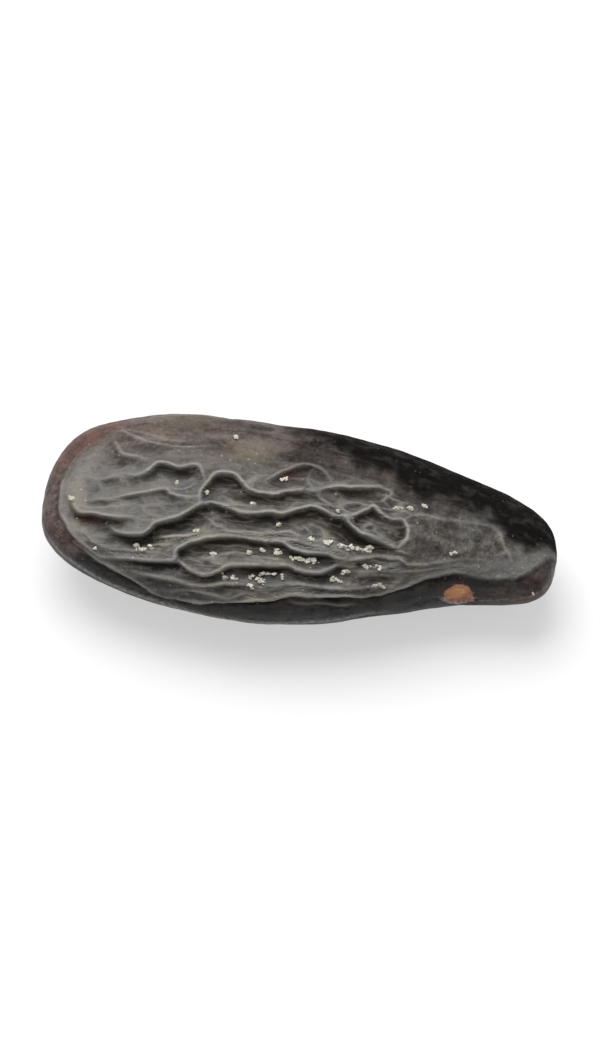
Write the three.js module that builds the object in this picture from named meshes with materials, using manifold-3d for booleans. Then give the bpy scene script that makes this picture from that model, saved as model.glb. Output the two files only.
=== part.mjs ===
// A dried tonka bean: one whole wrinkled seed, lying on its lower cheek.
// Millimetres, +Z up. +X runs from the blunt end to the beak. The belly edge, with the seed scar, faces -Y.
// The origin is the middle of the seed's box, at the surface that it lies on.
import * as THREE from "three";
import { mergeVertices } from "three/addons/utils/BufferGeometryUtils.js";
import Module from "manifold-3d";

const { degToRad, smoothstep } = THREE.MathUtils;

// Driving dimensions of the plump seed, before its skin sank in. The dried one is some 0.3 mm shorter.
const LENGTH = 34.3; // blunt end to beak
const WIDTH = 14; // back edge to belly edge, about the middle
const THICKNESS = 9; // cheek to cheek

// How the plain form departs from an ellipsoid.
const SQUARENESS = 2.5; // exponent of the section's superellipse, where 2 is an ellipse
const END_ROUNDING = 0.75; // under 1, both ends are blunter than an ellipsoid's
const WEDGE = 0.16; // share by which the thickness grows at the back edge and shrinks at the belly edge
const BEAK_TWIST = degToRad(12); // the beak rolls its belly up by this much
const TWIST_FROM = 0.45; // share of the length where the twist begins

// The form at stations along the length: how far the back, the belly and the cheeks stand from the axis,
// as shares of half the width and half the thickness, before the ends are rounded.
const STATIONS = [
  { at: 0, back: 1.7, belly: 0.92, cheek: 0.92 },
  { at: 0.1, back: 1.43, belly: 0.95, cheek: 0.96 },
  { at: 0.25, back: 1.27, belly: 0.96, cheek: 1 },
  { at: 0.4, back: 1.13, belly: 0.96, cheek: 1 },
  { at: 0.55, back: 1.11, belly: 0.88, cheek: 0.97 },
  { at: 0.7, back: 1.09, belly: 0.7, cheek: 0.9 },
  { at: 0.82, back: 1.06, belly: 0.59, cheek: 0.83 },
  { at: 0.92, back: 1.14, belly: 0.71, cheek: 0.83 },
  { at: 1, back: 1.25, belly: 0.98, cheek: 0.87 },
];

// The wrinkles. The skin has sunk in, but for crests that stand on a broader swell, each with a groove along
// one side. A reach is from the middle of the crest to a third of its height.
const SINK = 0.16;
const CREST = { height: 0.24, reach: 0.42 };
const SWELL = { height: 0.18, reach: 1 };
const GROOVE = { depth: 0.3, reach: 0.5, offset: 0.8 };

// The crests of the upper cheek, each through a few places: per cent of the length from the blunt end,
// and degrees round the axis, where 0 is the back edge, 90 the upper cheek and 180 the belly edge.
const UPPER_CRESTS = {
  rim: [[11, 56], [6, 64], [4, 80], [4, 111], [8, 139], [13, 149], [21, 142], [28, 138]],
  lowerFold: [[28, 138], [28, 131], [31, 124], [36, 118], [48, 118], [52, 123], [59, 129], [66, 127]],
  looseFold: [[28, 138], [34, 143], [37, 138], [41, 134], [50, 133], [56, 136], [62, 134]],
  leftFold: [[14, 121], [17, 125], [21, 124], [23, 116], [27, 110], [31, 100]],
  middleFold: [[31, 100], [33, 98], [39, 103], [47, 101], [52, 95], [60, 100]],
  archedFold: [[31, 100], [32, 86], [35, 81], [37, 81], [42, 90], [47, 87], [53, 85], [59, 81], [65, 77]],
  upperFold: [[15, 82], [20, 82], [22, 77], [30, 78], [31, 83]],
  crossFold: [[14, 101], [17, 97], [24, 92], [28, 97], [31, 98]],
  endFold: [[6, 103], [8, 113], [13, 115], [18, 113]],
  backLine: [[32, 65], [23, 66], [18, 61], [14, 52]],
  backSpur: [[13, 62], [15, 70], [20, 76]],
  backHook: [[42, 84], [46, 75], [50, 70], [53, 71], [55, 76]],
  underRim: [[8, 147], [12, 154], [19, 164], [27, 180]],
  underSpur: [[18, 155], [23, 156], [31, 154], [38, 148], [46, 150]],
  bellyFold: [[27, 168], [32, 160], [39, 161], [45, 153]],
  bellyLine: [[46, 147], [53, 145], [61, 150], [66, 154]],
  shoulder: [[24, 178], [33, 173], [41, 164], [51, 153], [58, 156], [67, 166], [72, 160], [80, 147]],
  beakShoulder: [[80, 147], [83, 145], [89, 150], [95, 132], [97, 115]],
  cellEnd: [[59, 100], [64, 89], [68, 97], [70, 97], [71, 113], [70, 119]],
  cellFloor: [[59, 100], [62, 110], [68, 120]],
  beakFold: [[71, 95], [77, 90], [84, 86], [88, 90], [91, 121]],
};

// The crests of the lower cheek and the back edge waver side by side, and touch here and there.
const LONG_CRESTS = { from: 238, to: 366, count: 8, ends: [8, 92], step: 7, waver: 7, fade: 14 };

// The seed scar, a lens-shaped pit in the belly edge near the beak, and the lip raised round it. The floor
// and the lip are at shares of the way from the scar's middle to its edge.
const SCAR = { at: [82, 184], length: 2.5, width: 2.1, depth: 0.3, floor: 0.4 };
const LIP = { height: 0.12, at: 1.2, reach: 0.35 };

// How the seed lies: its lower cheek is level, and a thin flat marks where it touches.
const REST_PITCH = degToRad(1.5);
const FLAT_DEPTH = 0.34;

// Squares of the grid that the skin is made of, and the proportions of the box that they are laid out on,
// along the length, the width and the thickness.
const GRID = { squares: [54, 34, 14], box: [2.2, 1.35, 1] };

const X_AXIS = new THREE.Vector3(1, 0, 0);
const stations = new THREE.CubicInterpolant(
  STATIONS.map((s) => s.at),
  STATIONS.flatMap((s) => [s.back, s.belly, s.cheek]),
  3,
);

// The point of the plain form that lies in a unit direction from its middle.
function formPoint(direction) {
  const along = (1 + direction.x) / 2;
  const [back, belly, cheek] = stations.evaluate(along);
  const ring = Math.hypot(direction.y, direction.z);
  const powers = Math.abs(direction.y) ** SQUARENESS + Math.abs(direction.z) ** SQUARENESS;
  const reach = ring ** END_ROUNDING / (powers ** (1 / SQUARENESS) || 1);
  const across = reach * direction.y * (direction.y > 0 ? back : belly);
  const y = (across * WIDTH) / 2;
  const z = ((reach * direction.z * cheek * THICKNESS) / 2) * (1 + WEDGE * across);
  const twist = BEAK_TWIST * smoothstep(along, TWIST_FROM, 1);
  return new THREE.Vector3((along - 0.5) * LENGTH, y, z).applyAxisAngle(X_AXIS, -twist);
}

// The point of the form at a place: per cent of the length and degrees round the axis.
function placePoint([percent, degrees]) {
  const x = percent / 50 - 1;
  const ring = Math.sqrt(1 - x * x);
  const angle = degToRad(degrees);
  return formPoint(new THREE.Vector3(x, ring * Math.cos(angle), ring * Math.sin(angle)));
}

function longCrests() {
  const { from, to, count, ends, step, waver } = LONG_CRESTS;
  return Array.from({ length: count }, (_, row) => {
    const around = from + ((to - from) * row) / (count - 1);
    const places = [];
    for (let percent = ends[0]; percent <= ends[1]; percent += step) {
      places.push([percent, around + waver * Math.sin(percent / 9 + row * 2.1)]);
    }
    return places;
  });
}

// A crest's route as short straight runs over the form. It rises over the first few and sinks over the last.
function crestRuns(places, fade) {
  const points = new THREE.CatmullRomCurve3(places.map(placePoint)).getPoints(places.length * 5);
  return points.slice(1).map((end, i) => {
    const rise = smoothstep(Math.min(i, points.length - 2 - i), -1, fade);
    return { line: new THREE.Line3(points[i], end), rise };
  });
}

const crests = [
  ...Object.values(UPPER_CRESTS).map((places) => crestRuns(places, 0)),
  ...longCrests().map((places) => crestRuns(places, LONG_CRESTS.fade)),
];
const scarMiddle = placePoint(SCAR.at);

const bump = (distance, width) => Math.exp(-((distance / width) ** 2));

// How high a crest stands at a point of the skin, and how deep its groove is.
function crestRelief(runs, point, normal) {
  const foot = new THREE.Vector3();
  let nearest = Infinity;
  let height = 0;
  let side = 0;
  for (const { line, rise } of runs) {
    line.closestPointToPoint(point, true, foot);
    const distance = foot.distanceTo(point);
    if (distance >= nearest) continue;
    nearest = distance;
    height = rise;
    const upward = normal.clone().cross(line.delta(new THREE.Vector3())).normalize();
    side = foot.sub(point).normalize().dot(upward);
  }
  return {
    crest: height * CREST.height * bump(nearest, CREST.reach),
    swell: height * SWELL.height * bump(nearest, SWELL.reach),
    groove: height * GROOVE.depth * Math.max(side, 0) * bump(nearest - GROOVE.offset, GROOVE.reach),
  };
}

function scarRelief(point) {
  const offset = point.clone().sub(scarMiddle);
  const across = Math.hypot(offset.y, offset.z);
  const share = Math.hypot((offset.x * 2) / SCAR.length, (across * 2) / SCAR.width);
  const pit = SCAR.depth * (1 - smoothstep(share, SCAR.floor, 1));
  return LIP.height * bump(share - LIP.at, LIP.reach) - pit;
}

function relief(point, normal) {
  const found = crests.map((runs) => crestRelief(runs, point, normal));
  const most = (share) => Math.max(...found.map((f) => f[share]));
  const groove = most("groove") * (1 - most("crest") / CREST.height);
  return most("crest") + most("swell") - groove - SINK + scarRelief(point);
}

// Only the corners and triangles of a geometry, as one closed skin.
function bare(geometry) {
  geometry.deleteAttribute("normal");
  geometry.deleteAttribute("uv");
  return mergeVertices(geometry, 1e-6);
}

// Moves every vertex to where change puts it.
function reshape(geometry, change) {
  const corners = geometry.getAttribute("position");
  for (let i = 0; i < corners.count; i++) {
    const moved = change(new THREE.Vector3().fromBufferAttribute(corners, i), i);
    corners.setXYZ(i, moved.x, moved.y, moved.z);
  }
  return geometry;
}

// Splits every square of the grid along its shorter diagonal, which runs along the crests and not over them.
function alongCrests(geometry) {
  const corners = geometry.getAttribute("position");
  const corner = (i) => new THREE.Vector3().fromBufferAttribute(corners, i);
  const index = geometry.index.array;
  for (let i = 0; i < index.length; i += 6) {
    const [a, b, d, , c] = index.subarray(i, i + 6);
    const shorter = corner(a).distanceTo(corner(c)) < corner(b).distanceTo(corner(d));
    if (shorter) index.set([a, b, c, a, c, d], i);
  }
  return geometry;
}

// A box grid swelled round has no poles, and spacing its lines by equal angles keeps its squares even.
function plainSeed() {
  const spaced = (value, i) => Math.tan(value * Math.atan(GRID.box[i]));
  const direction = (corner) => new THREE.Vector3(...corner.toArray().map(spaced)).normalize();
  const grid = bare(new THREE.BoxGeometry(2, 2, 2, ...GRID.squares));
  return reshape(grid, (corner) => formPoint(direction(corner)));
}

function wrinkledSeed() {
  const seed = plainSeed();
  seed.computeVertexNormals();
  const normals = seed.getAttribute("normal").clone();
  seed.deleteAttribute("normal");
  reshape(seed, (corner, i) => {
    const normal = new THREE.Vector3().fromBufferAttribute(normals, i);
    return corner.addScaledVector(normal, relief(corner, normal));
  });
  return alongCrests(seed);
}

const wasm = await Module();
wasm.setup();

function solidOf(geometry) {
  const vertProperties = new Float32Array(geometry.getAttribute("position").array);
  const triVerts = new Uint32Array(geometry.index.array);
  return new wasm.Manifold(new wasm.Mesh({ numProp: 3, vertProperties, triVerts }));
}

function geometryOf(solid) {
  const mesh = solid.getMesh();
  return new THREE.BufferGeometry()
    .setAttribute("position", new THREE.BufferAttribute(mesh.vertProperties, 3))
    .setIndex(new THREE.BufferAttribute(mesh.triVerts, 1));
}

// Lays the seed on its lower cheek, trims the flat that it rests on, and puts the origin under its middle.
function restingSeed() {
  const seed = wrinkledSeed().rotateY(REST_PITCH);
  seed.computeBoundingBox();
  const floor = seed.boundingBox.min.z + FLAT_DEPTH;
  const below = new THREE.BoxGeometry(2 * LENGTH, 2 * LENGTH, LENGTH).translate(0, 0, floor - LENGTH / 2);
  const trimmed = geometryOf(solidOf(seed).subtract(solidOf(bare(below))));
  trimmed.computeBoundingBox();
  const middle = trimmed.boundingBox.getCenter(new THREE.Vector3());
  return trimmed.translate(-middle.x, -middle.y, -floor);
}

const seedCoat = new THREE.MeshStandardMaterial({ color: 0x3a3632, roughness: 0.5, metalness: 0 });
const seed = new THREE.Mesh(restingSeed(), seedCoat);
seed.name = "tonka_bean";

const part = new THREE.Group();
part.add(seed);
export default part;
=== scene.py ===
import math
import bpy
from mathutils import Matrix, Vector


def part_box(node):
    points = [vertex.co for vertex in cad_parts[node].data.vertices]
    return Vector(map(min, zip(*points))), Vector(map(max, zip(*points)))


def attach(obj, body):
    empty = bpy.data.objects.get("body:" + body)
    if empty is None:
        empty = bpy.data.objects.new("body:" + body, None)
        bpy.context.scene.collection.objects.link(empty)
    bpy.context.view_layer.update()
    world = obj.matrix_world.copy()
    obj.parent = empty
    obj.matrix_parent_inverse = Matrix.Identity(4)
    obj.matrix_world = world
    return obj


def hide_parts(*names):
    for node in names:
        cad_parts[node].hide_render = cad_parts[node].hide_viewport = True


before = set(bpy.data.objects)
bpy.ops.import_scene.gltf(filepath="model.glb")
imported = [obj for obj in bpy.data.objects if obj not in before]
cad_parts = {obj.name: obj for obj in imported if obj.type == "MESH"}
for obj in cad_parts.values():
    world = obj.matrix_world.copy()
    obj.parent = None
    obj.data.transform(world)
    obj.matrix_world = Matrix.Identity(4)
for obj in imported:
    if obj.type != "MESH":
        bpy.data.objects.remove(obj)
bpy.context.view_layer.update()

from types import SimpleNamespace

import bmesh
import bpy
import numpy as np
from bpy.props import FloatProperty, FloatVectorProperty, PointerProperty
from mathutils import Matrix, Vector, noise

bl_info = {
    "name": "Tonka Bean",
    "version": (1, 0, 0),
    "blender": (4, 5, 0),
    "location": "3D View > Sidebar > Tonka Bean",
    "description": "A dried tonka bean with its wrinkles, scar and crystals, and a studio",
    "category": "Add Mesh",
}

MM = 0.001
SEED_LOW, SEED_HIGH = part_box("tonka_bean")

# The form at stations along the length, as in the part's source: how far the back, the belly and the cheeks
# stand from the axis, as shares of half the width and half the thickness, before the ends are rounded.
STATIONS = np.array([
    # at, back, belly, cheek
    (0.00, 1.70, 0.92, 0.92),
    (0.10, 1.43, 0.95, 0.96),
    (0.25, 1.27, 0.96, 1.00),
    (0.40, 1.13, 0.96, 1.00),
    (0.55, 1.11, 0.88, 0.97),
    (0.70, 1.09, 0.70, 0.90),
    (0.82, 1.06, 0.59, 0.83),
    (0.92, 1.14, 0.71, 0.83),
    (1.00, 1.25, 0.98, 0.87),
])

# The folds of the upper cheek. Each has the height of its crest at its start, middle and end and the depth of
# the drop on its belly side, as shares of the full ones, and a few places that it runs through. A place is in
# per cent of the length from the blunt end and in degrees round the axis, where 0 is the back edge, 90 the
# upper cheek and 180 the belly edge.
FOLDS = {
    "rim": ((0.05, 0.5, 1), 1.1, [
        (11, 56), (6, 64), (4, 80), (4, 93), (4, 111), (6, 129), (8, 139), (11, 146), (13, 149), (16, 146),
        (21, 142), (24, 141), (28, 138)]),
    "lower_fold": ((1, 1, 0.4), 1, [
        (28, 138), (28, 131), (29, 128), (31, 124), (33, 121), (36, 118), (44, 118), (48, 118), (50, 121),
        (52, 123), (55, 124), (57, 126), (59, 129), (62, 129), (66, 127), (70, 130)]),
    "lower_tail": ((0.4, 0.6, 0.2), 0.3, [(45, 118), (48, 116), (51, 117), (55, 120), (57, 123), (60, 125)]),
    "loose_fold": ((0.7, 1, 0.6), 1, [
        (28, 138), (31, 142), (34, 143), (35, 142), (37, 138), (38, 135), (41, 134), (48, 132), (50, 133),
        (51, 135), (58, 135), (59, 133), (62, 134)]),
    "left_fold": ((0.1, 0.9, 1), 2, [
        (14, 121), (17, 125), (21, 124), (22, 121), (23, 116), (25, 113), (27, 110), (29, 105), (31, 100)]),
    "middle_fold": ((1, 1, 0.8), 1.2, [
        (31, 100), (33, 98), (35, 99), (37, 101), (39, 103), (44, 101), (47, 101), (50, 98), (52, 95),
        (55, 97), (57, 98), (60, 100)]),
    "arched_fold": ((0.8, 1, 0.7), 1, [
        (31, 100), (31, 91), (32, 86), (33, 82), (35, 81), (37, 81), (39, 85), (40, 88), (42, 90), (45, 90),
        (47, 87), (50, 86)]),
    "arched_tail": ((0.4, 0.8, 0.5), 0.6, [
        (50, 86), (53, 85), (55, 82), (59, 81), (62, 79), (65, 77), (67, 79), (66, 83)]),
    "upper_fold": ((0.2, 0.9, 0.4), 0.8, [
        (15, 82), (18, 83), (20, 82), (21, 79), (22, 77), (24, 78), (26, 79), (30, 78), (31, 83)]),
    "cross_fold": ((0.2, 0.7, 0.6), 0.6, [
        (14, 101), (17, 97), (19, 95), (22, 93), (24, 92), (25, 95), (28, 97), (30, 96)]),
    "end_fold": ((0.3, 0.8, 0.2), 1.3, [(6, 103), (8, 113), (11, 114), (13, 115), (16, 114), (18, 113)]),
    "back_fold": ((0.2, 0.4, 0.1), 0.3, [(13, 46), (17, 55), (20, 59), (25, 63), (30, 62)]),
    "back_spur": ((0.4, 0.5, 0.1), 0.5, [(13, 62), (15, 70), (18, 73), (20, 76)]),
    "back_line": ((0.1, 0.5, 0.5), 0.6, [
        (32, 65), (27, 67), (23, 66), (20, 64), (18, 61), (16, 58), (14, 52)]),
    "back_hook": ((0.1, 0.8, 0.3), 1.1, [
        (42, 84), (44, 80), (46, 75), (48, 72), (50, 70), (53, 71), (55, 76)]),
    "back_link": ((0.2, 0.4, 0.2), 0.2, [(51, 74), (51, 80), (53, 86), (55, 90), (58, 97)]),
    "cell_end": ((0.8, 1, 0.6), 0.8, [
        (59, 100), (61, 97), (63, 92), (64, 89), (66, 94), (68, 97), (70, 97), (71, 105), (71, 113),
        (70, 119)]),
    "cell_floor": ((0.9, 1, 0.5), 2, [(59, 100), (60, 104), (62, 110), (64, 113), (66, 116), (68, 120)]),
    "beak_fold": ((0.5, 0.3, 0.4), 0.1, [
        (71, 95), (73, 90), (77, 90), (81, 87), (84, 86), (87, 87), (88, 90), (89, 98), (90, 110),
        (91, 121)]),
    "thin_fold": ((0.3, 0.6, 0.2), 0.6, [
        (33, 107), (35, 112), (37, 114), (44, 114), (49, 112), (51, 114), (55, 117)]),
    "inner_rim": ((0.1, 0.4, 0.3), 0.4, [(9, 130), (11, 136), (14, 139), (19, 136), (24, 134)]),
    "under_rim": ((0.3, 0.7, 0.4), 1.1, [(8, 147), (12, 154), (15, 157), (19, 164), (23, 171), (27, 180)]),
    "under_spur": ((0.1, 0.7, 0.3), 0.8, [
        (18, 155), (20, 157), (23, 156), (27, 154), (31, 154), (34, 153), (38, 148), (42, 147), (46, 150)]),
    "end_dent": ((0.1, 0.3, 0.1), 1, [(8, 80), (10, 84), (12, 84), (14, 83), (17, 84)]),
    "end_crease": ((0.1, 0.3, 0.1), 0.9, [(9, 100), (11, 101), (13, 101), (15, 101)]),
    "faint_line": ((0.2, 0.3, 0.1), 0.2, [(8, 107), (10, 109), (15, 107), (18, 104)]),
    "thin_slit": ((0.2, 0.8, 0.2), 0.5, [(24, 124), (27, 122), (30, 121), (32, 118)]),
    "short_slit": ((0.2, 0.4, 0.2), 0.5, [(22, 131), (24, 129), (27, 128)]),
    "small_cell": ((0.1, 0.4, 0.1), 0.6, [(24, 88), (25, 91), (27, 92), (29, 89), (30, 84)]),
    "belly_fold": ((0.2, 0.7, 0.2), 0.8, [(27, 168), (32, 160), (36, 160), (39, 161), (42, 155), (45, 153)]),
    "belly_line": ((0.3, 0.8, 0.4), 0.7, [
        (46, 147), (49, 146), (53, 145), (56, 147), (58, 149), (61, 150), (66, 154)]),
    "belly_link": ((0.1, 0.6, 0.2), 0.5, [(45, 156), (48, 152), (50, 150), (54, 150)]),
    "low_line": ((0.4, 0.6, 0.2), 0.6, [
        (61, 129), (64, 127), (66, 127), (68, 130), (70, 131), (72, 136), (77, 137), (81, 135), (84, 132)]),
    "lower_line": ((0.2, 0.5, 0.2), 0.6, [(61, 135), (65, 140), (69, 142), (74, 144), (77, 143), (82, 140)]),
    "short_line": ((0.1, 0.5, 0.1), 0.6, [(64, 135), (67, 138), (69, 136), (71, 134)]),
    "shoulder": ((0.3, 1.1, 0.6), 1.2, [
        (24, 178), (33, 173), (37, 168), (41, 164), (44, 159), (47, 157), (51, 153), (54, 154), (58, 156),
        (62, 159), (64, 163), (67, 166), (69, 163), (72, 160), (76, 153), (80, 149)]),
    "beak_shoulder": ((0.6, 0.4, 0.2), 0.6, [
        (80, 149), (83, 148), (86, 151), (89, 151), (92, 147), (95, 132), (97, 115)]),
    "belt_line": ((0.1, 0.7, 0.1), 0.8, [(49, 158), (52, 163), (54, 164), (57, 165), (61, 173), (64, 178)]),
}

# The crests of the lower cheek and the back edge waver side by side, and touch here and there.
CREST_ROWS = np.linspace(238, 366, 8)
CREST_STEPS = np.arange(8, 93, 7)
CREST_WAVER = 7

# Where the smooth belt of the belly begins, beside the shoulder fold, and where it ends.
BELT_START = np.array([
    (0, 140), (5, 146), (9, 152), (12, 157), (15, 161), (19, 169), (24, 180), (33, 177), (37, 172),
    (41, 168), (45, 162), (51, 157), (58, 160), (64, 167), (67, 170), (70, 166), (74, 162), (76, 156),
    (80, 152), (83, 151), (86, 154), (89, 154), (92, 150), (95, 136), (100, 95)])
BELT_END = np.array([(0, 210), (20, 224), (60, 226), (75, 240), (100, 240)])

# How far the reddish rim of the blunt end reaches along the seed, all round, and where the smooth dark back
# of the beak ends, which is darkened by painted shadow.
RIM_REACH = np.array([
    (0, 14), (30, 17), (45, 13), (58, 10), (64, 6.5), (80, 4.5), (93, 4), (111, 4), (129, 6), (139, 8),
    (149, 10), (165, 8), (200, 6), (260, 5), (330, 8), (360, 14)])
POLISH_END = np.array([
    (36, 40), (42, 50), (46, 57), (49, 60), (52, 62), (54, 64), (56, 69), (58, 73), (61, 76), (64, 76),
    (67, 78), (69, 84), (72, 88), (76, 87), (80, 86), (86, 85), (89, 95), (91, 107), (94, 110), (97, 95),
    (100, 80)])

# The smooth band from the shoulder to the tip, pale with dust and painted sheen: its upper and lower edges.
BAND_START = np.array([
    (66, 150), (72, 146), (78, 139), (82, 135), (87, 130), (90, 124), (92, 121), (94, 114), (97, 98),
    (100, 80)])
BAND_END = np.array([
    (66, 165), (74, 160), (76, 153), (80, 149), (83, 148), (86, 150), (89, 150), (92, 147), (95, 132),
    (97, 115), (100, 92)])

# The keel along the belly edge, from the rim to the beak: a low ridge with a pale line of painted reflection.
KEEL = np.array([
    (2, 168), (5, 177), (8, 182), (14, 188), (20, 193), (26, 197), (32, 199), (42, 200), (52, 198),
    (70, 197)])

# Painted shade in pockets below the folds, and first a wide darkening of the cheek before the beak: the
# place, how far it reaches in per cent and in degrees, and how dark it is.
DARK_POCKETS = [((64, 118), (11, 26), 0.5), ((25, 147), (5, 6), 0.7), ((21, 128), (3, 4), 0.6),
                ((61, 109), (3, 4), 0.6)]

# The middle of the seed scar, which is about 2 mm wide.
SCAR_PLACE = (82, 184)

# Heaps of crystals in the folds of the upper cheek: place, length in millimetres and count.
CRYSTAL_HEAPS = [
    ((35, 131), 0.3, 4), ((42, 127), 0.3, 8), ((44, 125), 0.2, 3), ((47, 126), 0.4, 8),
    ((52, 130), 1.7, 34), ((56, 119), 0.5, 8), ((59, 121), 0.7, 18), ((62, 123), 0.9, 28),
    ((65, 121), 0.4, 9), ((53, 118), 0.5, 6), ((38, 146), 0.5, 6), ((40, 145), 0.3, 4), ((43, 142), 0.3, 4),
    ((43, 150), 0.3, 4), ((45, 145), 0.5, 9), ((46, 139), 0.9, 9), ((49, 143), 0.2, 3),
    ((59, 146), 0.8, 14), ((61, 141), 0.5, 4), ((65, 137), 0.5, 5), ((66, 155), 0.7, 8),
    ((67, 140), 0.4, 4), ((69, 89), 0.6, 10), ((71, 87), 0.3, 5), ((73, 83), 0.2, 5), ((19, 134), 0.3, 5),
    ((23, 134), 0.5, 10), ((21, 138), 0.5, 7), ((13, 142), 0.3, 3), ((36, 56), 0.1, 2), ((46, 80), 0.5, 4),
    ((41, 97), 0.3, 4), ((32, 94), 0.4, 4), ((47, 109), 0.2, 2), ((32, 118), 0.3, 3), ((7, 100), 0.6, 6),
    ((96, 180), 0.1, 1), ((26, 89), 0.2, 2), ((58, 94), 0.1, 1), ((80, 130), 0.4, 3),
]

# The seam that runs on the belly edge from the scar to the beak.
SEAM = [(84, 198), (88, 197), (92, 193), (96, 186), (99, 165)]

# Seeds of the noise that the folds waver by and of the draws for the crystals.
NOISE_SEED = 5
CRYSTAL_SEED = 11

# The crystals of a heap lie about the lowest of the corners nearest its place, spread by a share of its
# length and by millimetres across it. Their radius is the full size over a divisor, and a third are large.
HEAP_CORNERS = 80
HEAP_LENGTH = 0.32
HEAP_WIDTH = 0.07
LARGE_DIVISOR = 1.8
SMALL_DIVISOR = 2.9
CRYSTAL_STRETCH = (1.35, 1, 0.75)

# How the plain form departs from an ellipsoid.
SQUARENESS = 2.5
END_ROUNDING = 0.75
WEDGE = 0.16
BEAK_TWIST = math.radians(12)
TWIST_FROM = 0.45
REST_PITCH = math.radians(1.5)

# Squares of the skin's grid along the length, the width and the thickness, the box they are laid out on, and
# how far they are drawn up from its middle, which makes them finer on the upper cheek.
SQUARES = (300, 100, 44)
BOX = np.array((2.2, 1.35, 1.0))
DRAWN_UP = np.array((0, 0, 0.3))

# How far the small forms of the skin stand up or sink in.
LUMP_HEIGHT = 0.06 * MM
GRIT_HEIGHT = 0.03 * MM
PIT_DEPTH = 0.07 * MM
RIPPLE_HEIGHT = 0.09 * MM
KEEL_HEIGHT = 0.05 * MM
LIP_HEIGHT = 0.08 * MM
SCAR_DEPTH = 0.16 * MM

# Half the floor's width, the width of the soft lamp and where it hangs, in metres.
FLOOR_REACH = 0.6
LAMP_SIZE = 0.4
LAMP_PLACE = (-0.1, 0.15, 0.42)


def millimetres(name, description, default, least=0.01, most=2):
    return FloatProperty(name=name, description=description, default=default * MM, min=least * MM,
                         max=most * MM, precision=5, unit="LENGTH")


def fraction(name, description, default):
    return FloatProperty(name=name, description=description, default=default, min=0, max=1, subtype="FACTOR")


def colour_of(name, description, default):
    return FloatVectorProperty(name=name, description=description, default=default, min=0, max=1,
                               subtype="COLOR")


class SeedShape(bpy.types.PropertyGroup):
    """Sizes of the seed and of its wrinkles"""

    length: millimetres("Length", "Blunt end to beak, before the skin sank in", 34.3, 20, 60)
    width: millimetres("Width", "Back edge to belly edge, about the middle", 14, 8, 30)
    thickness: millimetres("Thickness", "Cheek to cheek", 9, 4, 20)
    sink: millimetres("Sink", "How far the skin has sunk in between the wrinkles", 0.15)
    crest_height: millimetres("Crest Height", "How far a main crest stands up", 0.15)
    swell_height: millimetres("Swell Height", "How far the skin swells up towards a crest", 0.16)
    drop_depth: millimetres("Drop Depth", "How far the skin drops before a crest", 0.34)
    crest_reach: millimetres("Crest Reach", "Middle of a crest to a third of its height", 0.14)
    net_height: millimetres("Net Height", "Height of the small wrinkles between the crests", 0.2)


class SeedFinish(bpy.types.PropertyGroup):
    """Colours and gloss of the seed coat and of what lies in its folds"""

    coat: colour_of("Coat", "The skin between the wrinkles", (0.058, 0.052, 0.046))
    # Also laid on as painted sheen on the plate of the blunt end and on the shoulder band.
    bloom_and_sheen: colour_of("Dust", "The greyish bloom on what stands up", (0.15, 0.142, 0.13))
    # Painted shade: the colour that the bottoms of the folds are darkened to.
    hollow_shade: colour_of("Hollow", "The bottoms of the folds", (0.027, 0.023, 0.02))
    crest: colour_of("Crest", "The dusty tops of the crests", (0.34, 0.315, 0.29))
    rim: colour_of("Rim", "The reddish edge of the blunt end", (0.06, 0.036, 0.032))
    rim_light: colour_of("Rim Light", "The paler grains of that edge", (0.14, 0.104, 0.096))
    rust: colour_of("Rust", "The redder patch of that edge", (0.145, 0.06, 0.048))
    tan: colour_of("Tan", "The paler skin inside that edge", (0.27, 0.235, 0.2))
    mottle: colour_of("Mottle", "The olive patches near the back edge", (0.2, 0.175, 0.115))
    belt: colour_of("Belt", "The smooth belly edge", (0.011, 0.0105, 0.0105))
    # Painted shade: the red-brown shade under a few folds and on the scar's upper lip.
    red_shade: colour_of("Blush", "The red-brown shade under a few folds", (0.045, 0.019, 0.016))
    # Painted reflection: the pale line along the keel of the belly edge.
    edge: colour_of("Edge", "The pale keel along the belly edge", (0.36, 0.34, 0.33))
    lip: colour_of("Lip", "The pale side of the seed scar's lip", (0.8, 0.56, 0.48))
    scar: colour_of("Scar", "The seed scar's fibres", (1, 0.5, 0.25))
    crystal: colour_of("Crystal", "The crystals in the folds", (0.72, 0.7, 0.62))
    roughness: fraction("Roughness", "Roughness of the coat", 0.42)
    gloss: fraction("Gloss", "How strongly the coat shines", 0.3)
    crystal_size: millimetres("Crystal Size", "Width of a large crystal", 0.34)


class SeedStudio(bpy.types.PropertyGroup):
    """The floor, the light and the camera"""

    floor: colour_of("Floor", "The floor, before it is lightened for the camera", (0.5, 0.5, 0.5))
    lift: fraction("Lift", "How much the floor is lightened towards white for the camera", 0.52)
    fill: FloatProperty(
        name="Fill", description="Strength of the light from all round", default=0.4, min=0, max=2)
    key_power: FloatProperty(
        name="Key Power", description="Power of the soft lamp", default=2.2, min=0, max=20, unit="POWER")
    azimuth: FloatProperty(
        name="Azimuth", description="Where the camera stands round the seed", default=math.radians(7.3),
        subtype="ANGLE")
    elevation: FloatProperty(
        name="Elevation", description="How far the camera looks down", default=math.radians(54),
        subtype="ANGLE")
    distance: millimetres("Distance", "From the seed to the camera", 500, 100, 2000)
    view_width: millimetres("View Width", "Width of what the camera sees at the seed", 39.5, 10, 200)


def smoothstep(x, low, high):
    share = np.clip((x - low) / (high - low), 0, 1)
    return share * share * (3 - 2 * share)


def hump(distance, reach, power=2):
    """1 at no distance, and a third at the reach."""
    return np.exp(-np.abs(distance / reach) ** power)


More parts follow.
